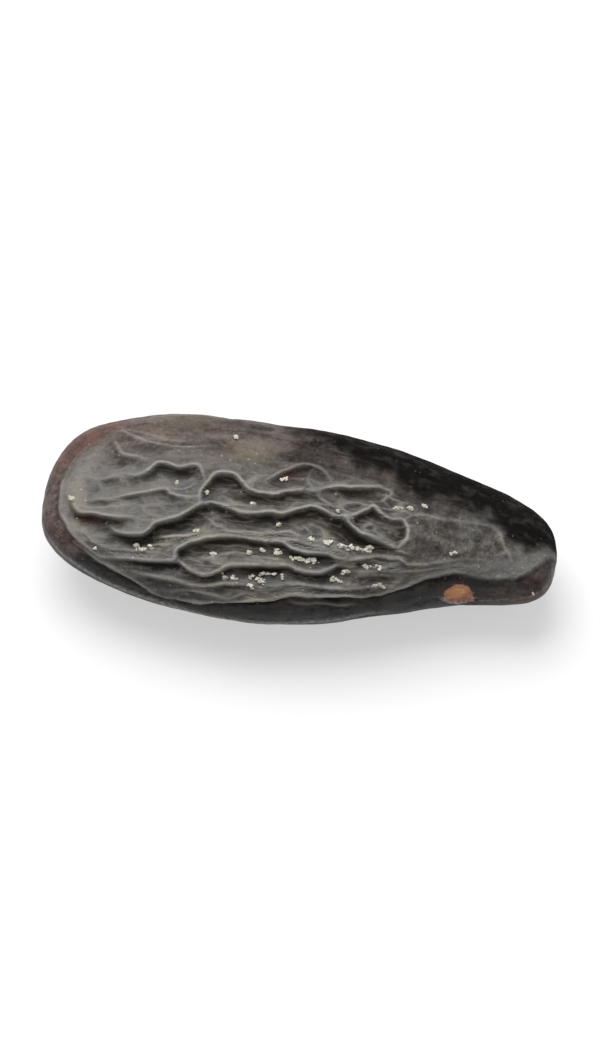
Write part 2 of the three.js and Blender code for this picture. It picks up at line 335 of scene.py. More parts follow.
def through(stations, x):
    """The later columns of the stations at x of the first, on a smooth curve through them."""
    at, values = stations[:, 0], stations[:, 1:]
    secants = np.diff(values, axis=0) / np.diff(at)[:, None]
    slopes = np.concatenate([secants[:1], (secants[1:] + secants[:-1]) / 2, secants[-1:]])
    i = np.clip(np.searchsorted(at, x) - 1, 0, len(at) - 2)
    span = (at[i + 1] - at[i])[:, None]
    p = (x - at[i])[:, None] / span
    bend = span * p * (1 - p) * (slopes[i] * (1 - p) - slopes[i + 1] * p)
    return values[i] * (1 + 2 * p) * (1 - p) ** 2 + values[i + 1] * (3 - 2 * p) * p**2 + bend


def plain_form(direction, shape):
    """The points of the seed's plain form that lie in unit directions from its middle."""
    along = (1 + direction[:, 0]) / 2
    back, belly, cheek = through(STATIONS, along).T
    to_back, up = direction[:, 1], direction[:, 2]
    powers = (np.abs(to_back) ** SQUARENESS + np.abs(up) ** SQUARENESS) ** (1 / SQUARENESS)
    reach = np.hypot(to_back, up) ** END_ROUNDING / np.maximum(powers, 1e-9)
    across = reach * to_back * np.where(to_back > 0, back, belly)
    y = across * shape.width / 2
    z = reach * up * cheek * shape.thickness / 2 * (1 + WEDGE * across)
    twist = BEAK_TWIST * smoothstep(along, TWIST_FROM, 1)
    x = (along - 0.5) * shape.length
    return np.stack([x, y * np.cos(twist) + z * np.sin(twist), z * np.cos(twist) - y * np.sin(twist)], axis=1)


def place_directions(places):
    """Unit directions from the middle towards places: per cent of the length and degrees round the axis."""
    percent, degrees = np.array(places, float).T
    x = percent / 50 - 1
    ring = np.sqrt(1 - x * x)
    angle = np.radians(degrees)
    return np.stack([x, ring * np.cos(angle), ring * np.sin(angle)], axis=1)


def place_points(places, shape):
    """Points of the plain form at places."""
    return plain_form(place_directions(places), shape)


def box_grid(squares):
    """The corners of a grid on a box's surface, from -1 to 1, and the quads between them, facing out."""
    quads = []
    for axis in range(3):
        u, v = (axis + 1) % 3, (axis + 2) % 3
        i, j = (part.ravel() for part in np.meshgrid(np.arange(squares[u]), np.arange(squares[v])))
        for side in (0, squares[axis]):
            quad = np.full((i.size, 4, 3), side)
            for corner, (du, dv) in enumerate(((0, 0), (1, 0), (1, 1), (0, 1))):
                quad[:, corner, u] = i + du
                quad[:, corner, v] = j + dv
            quads.append(quad if side else quad[:, ::-1])
    corners, index = np.unique(np.concatenate(quads).reshape(-1, 3), axis=0, return_inverse=True)
    return corners * 2 / np.array(squares) - 1, index.reshape(-1, 4)


def skin_grid():
    """Unit directions from the middle to the corners of the skin's grid, and the quads between them."""
    corners, quads = box_grid(SQUARES)
    direction = np.tan(corners * np.arctan(BOX))
    direction = direction / np.linalg.norm(direction, axis=1, keepdims=True) + DRAWN_UP
    return direction / np.linalg.norm(direction, axis=1, keepdims=True), quads


def corner_normals(points, quads):
    """Unit normals at the corners of the quads."""
    a, b, c, d = (points[quads[:, k]] for k in range(4))
    faces = np.cross(c - a, d - b)
    normals = np.zeros_like(points)
    for k in range(4):
        np.add.at(normals, quads[:, k], faces)
    return normals / np.linalg.norm(normals, axis=1, keepdims=True)


def smooth_route(places, shape):
    """A crest's route over the plain form as a fine run of points."""
    marks = place_points(places, shape)
    at = np.concatenate([[0], np.cumsum(np.linalg.norm(np.diff(marks, axis=0), axis=1))])
    return through(np.column_stack([at, marks]), np.linspace(0, at[-1], len(places) * 6))


def long_crests():
    """The places of the crests that run the seed's whole length."""
    for row, around in enumerate(CREST_ROWS):
        yield np.column_stack([CREST_STEPS, around + CREST_WAVER * np.sin(CREST_STEPS / 9 + row * 2.1)])


def nearest_on(points, normals, route):
    """Each point's distance from a route, the nearest step of it, and how squarely it lies to its left."""
    start, run = route[:-1], np.diff(route, axis=0)
    length = np.linalg.norm(run, axis=1)
    offset = points[:, None] - start
    share = np.clip((offset * run).sum(2) / length**2, 0, 1)
    away = offset - share[..., None] * run
    distance = np.linalg.norm(away, axis=2)
    step = distance.argmin(1)
    rows = np.arange(len(points))
    away = away[rows, step] / np.maximum(distance[rows, step], 1e-9)[:, None]
    left = (np.cross(normals, run[step] / length[step][:, None]) * away).sum(1)
    return distance[rows, step], step + share[rows, step], left


class Relief:
    """Crests over the plain form, swells behind them and drops before them, as shares of full ones.

    It also keeps the nearest crest's distance and height, and how far a point lies to its back side or, with
    a minus, to its belly side.
    """

    def __init__(self, points, normals, shape):
        self.points, self.normals, self.shape = points, normals, shape
        self.crest, self.swell, self.drop, self.rise, self.side = (np.zeros(len(points)) for _ in range(5))
        self.distance = np.full(len(points), 9 * MM)

    def add(self, places, rises, drop, vigour):
        route = smooth_route(places, self.shape)
        margin = 3 * MM
        inside = (self.points > route.min(0) - margin) & (self.points < route.max(0) + margin)
        near = inside.all(1).nonzero()[0]
        distance, step, left = nearest_on(self.points[near], self.normals[near], route)
        start, middle, end = rises
        share = step / (len(route) - 1)
        rise = np.interp(share, (0, 0.3, 0.7, 1), (start, middle, middle, end)) * vigour[near]
        crest = rise * hump(distance, self.shape.crest_reach, 1.3)
        behind = np.maximum(left, 0)
        swell = rise * (behind * hump(distance, MM) + (1 - behind) * hump(distance, 0.2 * MM))
        far = 1 - smoothstep(distance, 0.45 * MM, (1.1 + 0.4 * drop) * MM)
        drop = rise * drop * np.maximum(-left, 0) * smoothstep(distance, 0.06 * MM, 0.36 * MM) * far
        for kept, new in ((self.crest, crest), (self.swell, swell), (self.drop, drop)):
            kept[near] = np.maximum(kept[near], new)
        nearer = distance < self.distance[near]
        for kept, new in ((self.rise, rise), (self.side, distance * left), (self.distance, distance)):
            kept[near[nearer]] = new[nearer]


def noise_field(points, size, octaves=2):
    """Smooth noise from about -1 to 1 at points, with lumps of a size in metres."""
    return np.array([noise.fractal(point, 1, 2, octaves) for point in (points / size).tolist()])


def wavy(points, size, reach):
    """The points moved about by smooth noise, which is seeded so that each run gives the same."""
    noise.seed_set(NOISE_SEED)
    moves = [noise.noise_vector(point) for point in (points / size).tolist()]
    return points + np.array(moves) * reach


def wrinkle_net(points, cell, stretch, width):
    """1 on the walls of a net of cells drawn out along the seed, and 0 between them."""
    drawn = (points / (np.array((stretch, 1, 1)) * cell)).tolist()
    reaches = [noise.voronoi(point)[0] for point in drawn]
    gap = np.array([second - first for first, second, *_ in reaches])
    return hump(gap, width)


def spread(values, quads, rounds):
    """The values at the corners of the quads, smoothed over the quads round each corner."""
    share = np.bincount(quads.ravel(), minlength=len(values))
    for _ in range(rounds):
        middles = values[quads].mean(1)
        values = np.bincount(quads.ravel(), np.repeat(middles, 4), len(values)) / share
    return values


def belt_mask(percent, around):
    """Where the smooth belt of the belly lies."""
    start = np.interp(percent, *BELT_START.T)
    end = np.interp(percent, *BELT_END.T)
    return smoothstep(around, start, start + 5) * (1 - smoothstep(around, end, end + 9))


def zone_masks(points, percent, around, turn, belt):
    """Where the other zones of the coat lie, by name. Numbers are per cent of the length and degrees."""
    rim_reach = np.interp(around, *RIM_REACH.T) + 0.6 * noise_field(points, 1.2 * MM)
    rim = 1 - smoothstep(percent, rim_reach - 1, rim_reach + 1)
    rim = np.maximum(rim, 0.9 * hump(around - 34, 22) * (1 - smoothstep(percent, 16, 58)))
    mottle = hump(percent - 39, 4) * hump(around - 69, 8)

    # The back of the beak is smooth and partly darkened by painted shadow; the dusk widens that painted
    # shadow over the top of the middle.
    polish_end = np.interp(percent, *POLISH_END.T) + 6 * noise_field(points, 1.2 * MM, 3)
    polish = smoothstep(percent, 36, 52) * (1 - smoothstep(turn, polish_end - 18, polish_end + 3))
    dusk = hump(percent - 52, 9) * (1 - smoothstep(turn, 66, 80)) * smoothstep(turn, 15, 45)
    polish = np.maximum(polish, 0.6 * dusk) * smoothstep(turn, -40, -10)

    band_start = np.interp(percent, *BAND_START.T)
    band_end = np.interp(percent, *BAND_END.T)
    band = smoothstep(around, band_start - 6, band_start + 6)
    band *= 1 - smoothstep(around, band_end - 7, band_end + 3)
    # The keel's pale line is painted reflection along a low ridge.
    keel = hump(around - np.interp(percent, *KEEL.T), 4) * smoothstep(percent, 1, 5)
    return {
        "rim": rim,
        "rust": hump(around - 46, 20, 4) * hump(percent - 8, 7, 4) * rim,
        "edging": hump(percent - rim_reach - 2.5, 2.5) * hump(around - 98, 44, 4),
        "mottle": np.maximum(mottle, 0.7 * hump(percent - 24, 8) * hump(around - 36, 16)),
        "plate": hump(percent - 13, 13, 3) * hump(around - 102, 36, 3),
        "polish": polish,
        "back": smoothstep(turn, -60, -30) * (1 - smoothstep(turn, 62, 82)) * smoothstep(percent, 9, 15),
        "beak": smoothstep(percent, 70, 74) * (1 - polish) * (1 - belt),
        "band": band * smoothstep(percent, 66, 76),
        "tip": smoothstep(percent, 84, 92) * smoothstep(around, band_end, band_end + 20),
        "keel": keel * (1 - smoothstep(percent, 60, 72)),
        # Painted red-brown shade under a few folds.
        "red_shade": hump(percent - 11, 4) * hump(around - 118, 4) + hump(percent - 47, 3) * hump(around - 77, 4),
    }


def scar_masks(points, shape):
    """Each point's distance from the scar's middle as a share of its radius, and the scar's masks."""
    ahead, aside, above = (points - place_points([SCAR_PLACE], shape)[0]).T / MM
    share = np.hypot(ahead, np.hypot(aside, above) / 0.9) + 0.2 * noise_field(points, 0.45 * MM, 3)
    lower_lip = smoothstep(-above, 0, 0.35)
    upper_lip = (1 - lower_lip) * (1 - smoothstep(ahead, 0.2, 0.8))
    return share, {
        "scar": 1 - smoothstep(share, 0.7, 1.05),
        "lips": hump(share - 1, 0.22 + 0.35 * upper_lip) * np.maximum(lower_lip, upper_lip),
        "lower_lip": lower_lip,
        "heart": (1 - smoothstep(share, 0.2, 1)) * (1 - smoothstep(ahead, -0.1, 0.9)),
    }


def fine_wrinkles(points, percent, around, edge, room, beak):
    """The net of small wrinkles and the finer one in it, where the folds leave room for them."""
    under = smoothstep(around, 234, 248)
    middle = hump(percent - 54, 26) * smoothstep(around, 60, 95)
    net = wrinkle_net(points, 1.2 * MM, 4, 0.13)
    net *= room * np.clip(0.25 + under + middle, 0, 1) * (1 - 0.8 * edge) * (1 - 0.85 * beak)
    fine_net = wrinkle_net(points, 0.6 * MM, 3, 0.2)
    fine_net *= room * np.clip(0.35 + 0.8 * middle + 0.3 * under, 0, 1) * (1 - 0.9 * edge) * (1 - 0.85 * beak)
    return net, fine_net


def small_relief(points, edge, masks):
    """The height of what lies under and between the wrinkles: lumps, grit, pits, ripples, keel and scar."""
    belt, beak, polish = masks["belt"], masks["beak"], masks["polish"]
    lumps = noise_field(points, 2.6 * MM, 3)
    grit = noise_field(points, 0.5 * MM, 3) * (1 - 0.8 * belt) * (1 - 0.8 * edge) * (1 - 0.7 * polish)
    pitting = noise_field(points, 0.9 * MM, 3) * beak
    rippled = np.maximum(masks["plate"], 0.5 * masks["back"] * (1 - polish))
    ripples = noise_field(points * (0.6, 1, 1), MM) * rippled
    height = LUMP_HEIGHT * lumps + GRIT_HEIGHT * grit + PIT_DEPTH * pitting + RIPPLE_HEIGHT * ripples
    height += KEEL_HEIGHT * masks["keel"] + LIP_HEIGHT * masks["lips"]
    return height - SCAR_DEPTH * masks["scar"] * (1 - 0.25 * noise_field(points, 0.35 * MM))


def skin_fields(points, normals, quads, direction, shape):
    """How far each point of the skin stands over the plain form, and the masks for its finish."""
    percent = 50 * (1 + direction[:, 0])
    around = np.degrees(np.arctan2(direction[:, 2], direction[:, 1])) % 360
    turn = (around + 180) % 360 - 180
    edge = hump(turn, 46)
    vigour = 0.9 + 0.4 * noise_field(points, 3 * MM)
    wandering = wavy(wavy(points, 2.2 * MM, 0.16 * MM), 0.8 * MM, 0.07 * MM)
    belt = belt_mask(percent, around)
    folds = Relief(wandering, normals, shape)
    for rises, drop, places in FOLDS.values():
        folds.add(places, rises, drop, vigour)
    for places in long_crests():
        folds.add(places, (0, 1.2, 0), 0.7, vigour * (1 - belt))
    seam = Relief(wandering, normals, shape)
    seam.add(SEAM, (1, 1, 0.6), 0, vigour)

    scar_share, scar = scar_masks(points, shape)
    masks = {"belt": belt, "seam": seam.crest, **zone_masks(points, percent, around, turn, belt), **scar}
    ends = smoothstep(percent, 1, 9) * (1 - smoothstep(percent, 88, 97))
    quiet = (1 - belt) * ends * (1 - smoothstep(scar_share, 2.2, 1.2)) * (1 - 0.9 * masks["polish"])
    roomy = (1 - np.clip(1.5 * folds.crest, 0, 1)) * (1 - 0.75 * np.clip(1.4 * folds.drop, 0, 1))
    net, fine_net = fine_wrinkles(wandering, percent, around, edge, quiet * roomy, masks["beak"])

    height = shape.crest_height * folds.crest + shape.swell_height * folds.swell - shape.sink
    height -= shape.drop_depth * folds.drop * (1 - 0.8 * np.minimum(folds.crest, 1)) * (1 - 0.5 * belt)
    height += shape.net_height * (0.8 * net + 0.5 * fine_net)
    height += small_relief(points, edge, masks)
    # Painted shade: how far a point lies below its smoothed surroundings, and the pockets below the folds.
    hollow_shade = (spread(height, quads, 30) - height) / (0.25 * MM)
    hollow_shade += (spread(height, quads, 150) - height) / (0.4 * MM)
    for (at, turned), (long, wide), dark in DARK_POCKETS:
        hollow_shade += dark * hump(percent - at, long) * hump(around - turned, wide)
    masks.update({"hollow_shade": hollow_shade, "net": np.maximum(net, 0.7 * fine_net), "crest_rise": folds.rise,
                  "crest_side": folds.side / MM, "crest_distance": folds.distance / MM})
    return height, masks


def settled(points):
    """The points laid down as the seed rests and set in the box that it has in the frame."""
    x, y, z = points.T
    cos, sin = math.cos(REST_PITCH), math.sin(REST_PITCH)
    laid = np.stack([x * cos + z * sin, y, z * cos - x * sin], axis=1)
    low, high = laid.min(0), laid.max(0)
    box_middle = (np.array(SEED_LOW) + np.array(SEED_HIGH)) / 2
    laid[:, :2] += box_middle[:2] - (low[:2] + high[:2]) / 2
    laid[:, 2] += SEED_HIGH.z - high[2]
    laid[:, 2] = np.maximum(laid[:, 2], SEED_LOW.z)
    return laid


def add_piece(name, points, faces, material, smooth=True):
    """Makes a mesh piece that rides on the seed's body."""
    mesh = bpy.data.meshes.new(name)
    mesh.from_pydata(points, [], faces)
    mesh.validate()
    if smooth:
        mesh.shade_smooth()
    mesh.materials.append(material)
    piece = bpy.data.objects.new(name, mesh)
    bpy.context.scene.collection.objects.link(piece)
    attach(piece, "root")
    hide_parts("tonka_bean")
    return piece


def add_mask(piece, name, values):
    """Keeps a value at each corner for the material."""
    layer = piece.data.attributes.new(name, "FLOAT", "POINT")
    layer.data.foreach_set("value", np.asarray(values, np.float32))


class Wire:
    """An output socket in a material's node tree. Python's operators on it add Math nodes."""

    def __init__(self, tree, socket=None):
        self.tree = tree
        self.socket = socket

    def node(self, kind, settings=None, inputs=None, output=0):
        """Adds a node, makes its settings, then fills or links its inputs, and gives one of its outputs."""
        node = self.tree.nodes.new("ShaderNode" + kind)
        for name, value in (settings or {}).items():
            setattr(node, name, value)
        for key, value in (inputs or {}).items():
            if isinstance(value, Wire):
                self.tree.links.new(value.socket, node.inputs[key])
            else:
                node.inputs[key].default_value = value
        return Wire(self.tree, node.outputs[output])

    def show(self, kind):
        """Links this shader to the output node of a material or a world."""
        self.tree.links.new(self.socket, self.tree.nodes.new("ShaderNodeOutput" + kind).inputs["Surface"])

    def math(self, operation, *values, clamp=False):
        return self.node("Math", {"operation": operation, "use_clamp": clamp}, dict(enumerate(values)))

    def __add__(self, other):
        return self.math("ADD", self, other)

    def __sub__(self, other):
        return self.math("SUBTRACT", self, other)

    def __rsub__(self, other):
        return self.math("SUBTRACT", other, self)

    def __mul__(self, other):
        return self.math("MULTIPLY", self, other)

    __radd__ = __add__
    __rmul__ = __mul__

    def larger(self, other):
        return self.math("MAXIMUM", self, other)

    def exponential(self):
        return self.math("EXPONENT", self)

    def clamped(self):
        """Kept from 0 to 1."""
        return self.math("ADD", self, 0, clamp=True)

    def times(self, tones):
        """This colour or vector with its parts multiplied by tones."""
        return self.node("VectorMath", {"operation": "MULTIPLY"}, {0: self, 1: tones})

    def between(self, low, high):
        """0 below low, 1 above high, and a smooth rise from one to the other."""
        return self.node("MapRange", {"interpolation_type": "SMOOTHSTEP"},
                         {"Value": self, "From Min": low, "From Max": high})

    def tint(self, under, over):
        """The colour over where this is 1 or more, and the colour under where it is 0 or less."""
        colours = [value if isinstance(value, Wire) else (*value, 1) for value in (under, over)]
        return self.node("Mix", {"data_type": "RGBA"}, {0: self, 6: colours[0], 7: colours[1]}, output=2)

    def mask(self, name):
        """A value kept at the mesh's points."""
        return self.node("Attribute", {"attribute_name": name}, output=2)

    def lumps(self, size, detail=3, roughness=0.55, stretch=None):
        """Noise from 0 to 1, with lumps of a size in metres."""
        return self.node("TexNoise", {}, {
            "Vector": self.place(stretch), "Scale": 1 / size, "Detail": detail, "Roughness": roughness})

    def cells(self, size, feature="F1"):
        """A cell pattern's distances, with cells of a size in metres."""
        return self.node("TexVoronoi", {"feature": feature}, {"Vector": self.place(), "Scale": 1 / size})

    def place(self, stretch=None):
        """The place on the object, drawn out by a stretch along each axis."""
        here = self.node("TexCoord", output=3)
        if stretch is None:
            return here
        return here.times(tuple(1 / share for share in stretch))


def empty_tree(owner):
    """Clears the node tree of a material or a world, and gives its first wire."""
    owner.use_nodes = True
    owner.node_tree.nodes.clear()
    return Wire(owner.node_tree)


def laid_over(colour, *layers):
    """The colour with others laid over it one by one, each by its share."""
    for share, over in layers:
        colour = share.tint(colour, over)
    return colour


def toned(colour, tones):
    """A colour with its parts multiplied by tones."""
    return tuple(share * tone for share, tone in zip(colour, tones))


def coat_pattern(wire, names):
    """The masks, the noises that break them up, and the crests and the painted shade of hollows and creases
    made of both, by name.
    """
    skin = SimpleNamespace(**{name: wire.mask(name) for name in names})
    skin.patches = wire.lumps(2.2 * MM, 4)
    skin.blots = wire.lumps(0.9 * MM, 4, 0.6)
    skin.grain = wire.lumps(0.3 * MM, 4, 0.65)
    skin.threads = wire.lumps(0.5 * MM, 4, 0.6, stretch=(4, 1, 1))
    skin.fibres = wire.lumps(0.2 * MM, 4, 0.6, stretch=(2.5, 1, 1)).between(0.3, 0.7)
    skin.uneven = (skin.grain - 0.5) * 1.4 + (skin.blots - 0.5) * (1.5 + skin.beak * 1.8 + skin.back)
    skin.uneven = skin.uneven + (skin.threads - 0.5) * (1.4 - skin.back * 0.8)

    folded = wire.lumps(0.9 * MM, 2, 0.5, stretch=(4, 1, 1)) - 0.5
    rough = (1 - skin.belt) * (1 - skin.polish) * (1 - skin.plate * 0.7) * (1 - skin.band)
    rough = rough * (1 - skin.rim * 0.6) * (1 - skin.beak * 0.8) * (1 - skin.back * 0.9)
    skin.fine = (folded * folded * -900).exponential() * rough
    close = (1 - skin.crest_distance.between(0.25, 0.5)) * skin.crest_rise
    squared = skin.crest_side * skin.crest_side
    sharp = (squared * -55).exponential() * close
    skin.soft = (squared * -22).exponential() * close
    # Below a crest: a crease in the bump, and painted shade in the colour.
    below = 0 - skin.crest_side
    skin.crease = below.between(0.06, 0.18) * (1 - below.between(0.25, 0.85)) * skin.crest_rise

    line = (sharp * 1.5).larger(skin.net.between(0.25, 0.8) * 0.5).larger(skin.fine * 0.28)
    line = line * (0.5 + skin.patches * 0.6) * (0.5 + skin.grain * 0.8) * (1 - skin.polish * 0.8)
    skin.line = (line * (1 - skin.belt * 0.4) * (1 - skin.beak * 0.2) * (1 - skin.rim * 0.4)).clamped()
    # Painted shade: the colour darkens in the hollows, below the crests and on the back of the beak, and
    # varies at random.
    depth = skin.hollow_shade * 0.47 + skin.crease * (0.3 + skin.blots * 0.7) + skin.polish * 0.2 - 0.04
    skin.depth = (depth - skin.uneven * (0.9 - skin.plate * 0.5 - skin.band * 0.6)).clamped()
    return skin


def ground_colour(wire, skin, finish):
    """The skin with the painted shade of its hollows and creases, its dust and painted sheen, the stains and
    pale grains of the back and the blunt end, and painted red-brown shade under a few folds.
    """
    patches, blots, grain = skin.patches, skin.blots, skin.grain
    # Dust, partly painted sheen on the plate of the blunt end, and thinner in the hollows as painted shade.
    dust_and_sheen = skin.plate * 0.8 - skin.hollow_shade * 0.6 + skin.uneven * (1 - skin.plate * 0.5)
    dust_and_sheen = (dust_and_sheen + (patches - 0.5) * 0.9 + 0.08 - skin.rim * 0.4).clamped()
    washes = (wire.lumps(1.4 * MM, 4, 0.6, stretch=(2.5, 1, 1)) * 0.8 + grain * 0.2).between(0.42, 0.6)
    stains = (patches * 0.5 + blots * 0.5).between(0.34, 0.54)
    dark_stain = toned(finish.rim, [0.45] * 3)
    return laid_over(
        skin.depth.tint(finish.coat, finish.hollow_shade),
        (dust_and_sheen * (1 - skin.depth) * (1 - skin.polish), finish.bloom_and_sheen),
        (skin.edging * (0.3 + grain * 0.6) * (1 - skin.depth), finish.tan),
        (skin.back * stains, washes.tint(dark_stain, finish.rim_light)),
        (skin.back * washes * 0.2, finish.tan),
        (skin.red_shade * (0.4 + blots), finish.red_shade))


def zone_colour(skin, finish, colour):
    """The colour with the polished back darkened by painted shadow, the belt, the rim, the band with its dust
    and painted sheen, and the keel with its painted reflection laid over it.
    """
    patches, blots, grain, threads = skin.patches, skin.blots, skin.grain, skin.threads
    # Painted shadow: the back of the beak goes nearly black.
    shadow_black = toned(finish.belt, [0.3] * 3)
    bare_in_shadow = (threads * 0.3 + blots * 0.7).between(0.42, 0.95).tint(shadow_black, finish.coat)
    streaks = (threads * 0.6 + patches * 0.4).between(0.42, 0.75) * 0.7
    red = (skin.rim * (0.25 + patches * 0.7 + threads * 0.5)).larger(skin.tip * (0.3 + threads * 0.5))
    return laid_over(
        colour,
        (skin.polish * (0.75 + blots * 0.5), bare_in_shadow),
        (skin.belt, streaks.tint(finish.belt, finish.coat)),
        (red, (skin.uneven + 0.45).between(0.2, 0.9).tint(finish.rim, finish.rim_light)),
        (skin.rust * (0.5 + blots), (skin.uneven + 0.5).tint(finish.rim, finish.rust)),
        (skin.band * (0.35 + grain * 0.4 + patches * 0.7), finish.bloom_and_sheen),
        (skin.keel * (0.1 + grain.between(0.35, 0.6) * 0.7 + patches * 0.3), finish.edge))


def crest_colour(wire, skin, finish, colour):
    """The colour with the crests, the olive patches, warm and cool shades and stray crystals laid over it."""
    patches, grain = skin.patches, skin.grain
    olive = skin.mottle * (0.35 + patches * 0.5) * (0.4 + grain)
    colour = laid_over(colour, (skin.line, finish.crest), (olive, finish.mottle))
    warmth = wire.lumps(1.7 * MM, 3).between(0.42, 0.68) * (1 - skin.plate * 0.6) * (1 - skin.polish)
    colour = warmth.tint(colour, colour.times((1.03, 1, 0.9)))
    coolness = (1 - patches.between(0.4, 0.62)) * (1 - skin.rim) * (1 - skin.back)
    colour = coolness.tint(colour, colour.times((0.97, 1, 1.04)))
    specks = (1 - wire.cells(0.5 * MM).between(0.06, 0.15)) * grain.between(0.5, 0.62) * (1 - skin.belt * 0.6)
    return (specks * (0.6 - skin.polish * 0.4)).tint(colour, finish.crystal)


def scar_colour(skin, finish, colour):
    """The colour with the seam, the scar's lips, with painted red-brown shade on the upper one, and its
    fibres laid over it.
    """
    blots, grain, fibres = skin.blots, skin.grain, skin.fibres
    # The upper lip gets painted red-brown shade mixed with rust, and the lower lip its pale colour.
    lip = skin.lower_lip.tint(blots.between(0.4, 0.6).tint(finish.red_shade, finish.rust), finish.lip)
    dark_scar = toned(finish.scar, (0.45, 0.4, 0.6))
    pale_scar = toned(finish.scar, (1, 1.3, 1.6))
    tone = (fibres * 0.5 + skin.heart * 0.6).clamped()
    fibre = (tone * fibres).between(0.5, 1).tint(tone.tint(dark_scar, finish.scar), pale_scar)
    return laid_over(
        colour,
        (skin.seam * grain.between(0.35, 0.6) * 0.35, finish.lip),
        (skin.lips.between(0.1, 0.9) * grain.between(0.3, 0.7), lip),
        (skin.scar.between(0.1, 0.9), fibre))


def coat_bump(wire, skin):
    """The normal with the grain, pits, threads, fibres and thin crests of the skin."""
    pits = wire.cells(0.2 * MM, "SMOOTH_F1")
    height = skin.grain * (0.9 - skin.belt * 0.5 - skin.polish * 0.5)
    height = height + pits * (0.3 + skin.beak * 0.5) * (1 - skin.belt)
    height = height + skin.threads * skin.belt * 0.3 + skin.fibres * skin.scar + skin.fine * 0.5
    height = height + skin.soft * (1.3 - skin.beak * 0.6) - skin.crease * 0.6
    return wire.node("Bump", {}, {"Strength": 0.6, "Distance": 0.1 * MM, "Height": height})


def seed_coat_material(finish, names):
    """Dark waxy skin with dusty crests, a reddish rim, olive patches and the fibres of the scar."""
    material = bpy.data.materials.new("seed_coat")
    wire = empty_tree(material)
    skin = coat_pattern(wire, names)
    colour = ground_colour(wire, skin, finish)
    colour = zone_colour(skin, finish, colour)
    colour = crest_colour(wire, skin, finish, colour)
    colour = scar_colour(skin, finish, colour)
    roughness = finish.roughness + skin.grain * 0.14 + skin.line * 0.1 + skin.scar * 0.2
    roughness = (roughness + skin.depth * 0.2 - skin.belt * 0.1).clamped()
    both = {"Base Color": colour, "Normal": coat_bump(wire, skin)}
    shiny = wire.node("BsdfPrincipled", {}, {
        "Roughness": roughness, "Specular IOR Level": finish.gloss, **both})
    matt = wire.node("BsdfPrincipled", {}, {"Roughness": 0.9, "Specular IOR Level": 0.05, **both})
    # The matt shader takes the sheen out as painted shade in the hollows and as painted shadow on the back of
    # the beak.
    dullness = (skin.depth + skin.polish * 0.85 + skin.belt * 0.2).clamped()
    wire.node("MixShader", {}, {0: dullness, 1: shiny, 2: matt}).show("Material")
    return material


def crystal_material(finish):
    """Cream crystals, each a little different."""
    material = bpy.data.materials.new("coumarin_crystals")
    wire = empty_tree(material)
    grain = wire.lumps(0.12 * MM, 3)
    aged = toned(finish.crystal, (0.62, 0.59, 0.52))
    colour = (wire.mask("age") * (0.5 + grain)).tint(finish.crystal, aged)
    bump = wire.node("Bump", {}, {"Strength": 0.4, "Distance": 0.03 * MM, "Height": grain})
    wire.node("BsdfPrincipled", {}, {
        "Base Color": colour, "Roughness": 0.45 + grain * 0.3, "Normal": bump,
        "Subsurface Weight": 0.15, "Subsurface Scale": 0.2 * MM}).show("Material")
    return material


def seen_directly(wire):
    """1 for rays from the camera, in gloss and through glass, and 0 for the light that falls on things."""
    kinds = ("Camera", "Glossy", "Transmission")
    camera, gloss, glass = (wire.node("LightPath", output=f"Is {kind} Ray") for kind in kinds)
    return (camera + gloss + glass).clamped()


def floor_material(studio):
    """A pale floor that is lifted towards white where it is seen, and keeps its shadows."""
    material = bpy.data.materials.new("studio_floor")
    wire = empty_tree(material)
    matt = wire.node("BsdfDiffuse", {}, {"Color": (*studio.floor, 1)})
    lift = wire.node("Emission", {}, {"Strength": seen_directly(wire) * studio.lift})
    wire.node("AddShader", {}, {0: matt, 1: lift}).show("Material")
    return material


def light_world(studio):
    """Even light from all round, behind which the background is white."""
    world = bpy.data.worlds.new("studio_light")
    bpy.context.scene.world = world
    wire = empty_tree(world)
    strength = wire.node("Mix", {}, {0: seen_directly(wire), 2: studio.fill, 3: 1})
    wire.node("Background", {}, {"Strength": strength}).show("World")


class TONKA_OT_seed(bpy.types.Operator):
    """Make the seed's wrinkled skin"""

    bl_idname = "tonka.seed"
    bl_label = "Make Seed"
    bl_options = {"REGISTER", "UNDO"}

    def execute(self, context):
        shape = context.scene.tonka_shape
        direction, quads = skin_grid()
        form = plain_form(direction, shape)
        normals = corner_normals(form, quads)
        height, masks = skin_fields(form, normals, quads, direction, shape)
        skin = settled(form + normals * height[:, None])
        material = seed_coat_material(context.scene.tonka_finish, masks)
        piece = add_piece("seed_skin", skin, quads, material)
        for name, values in masks.items():
            add_mask(piece, name, values)
        add_mask(piece, "height", height)
        return {"FINISHED"}


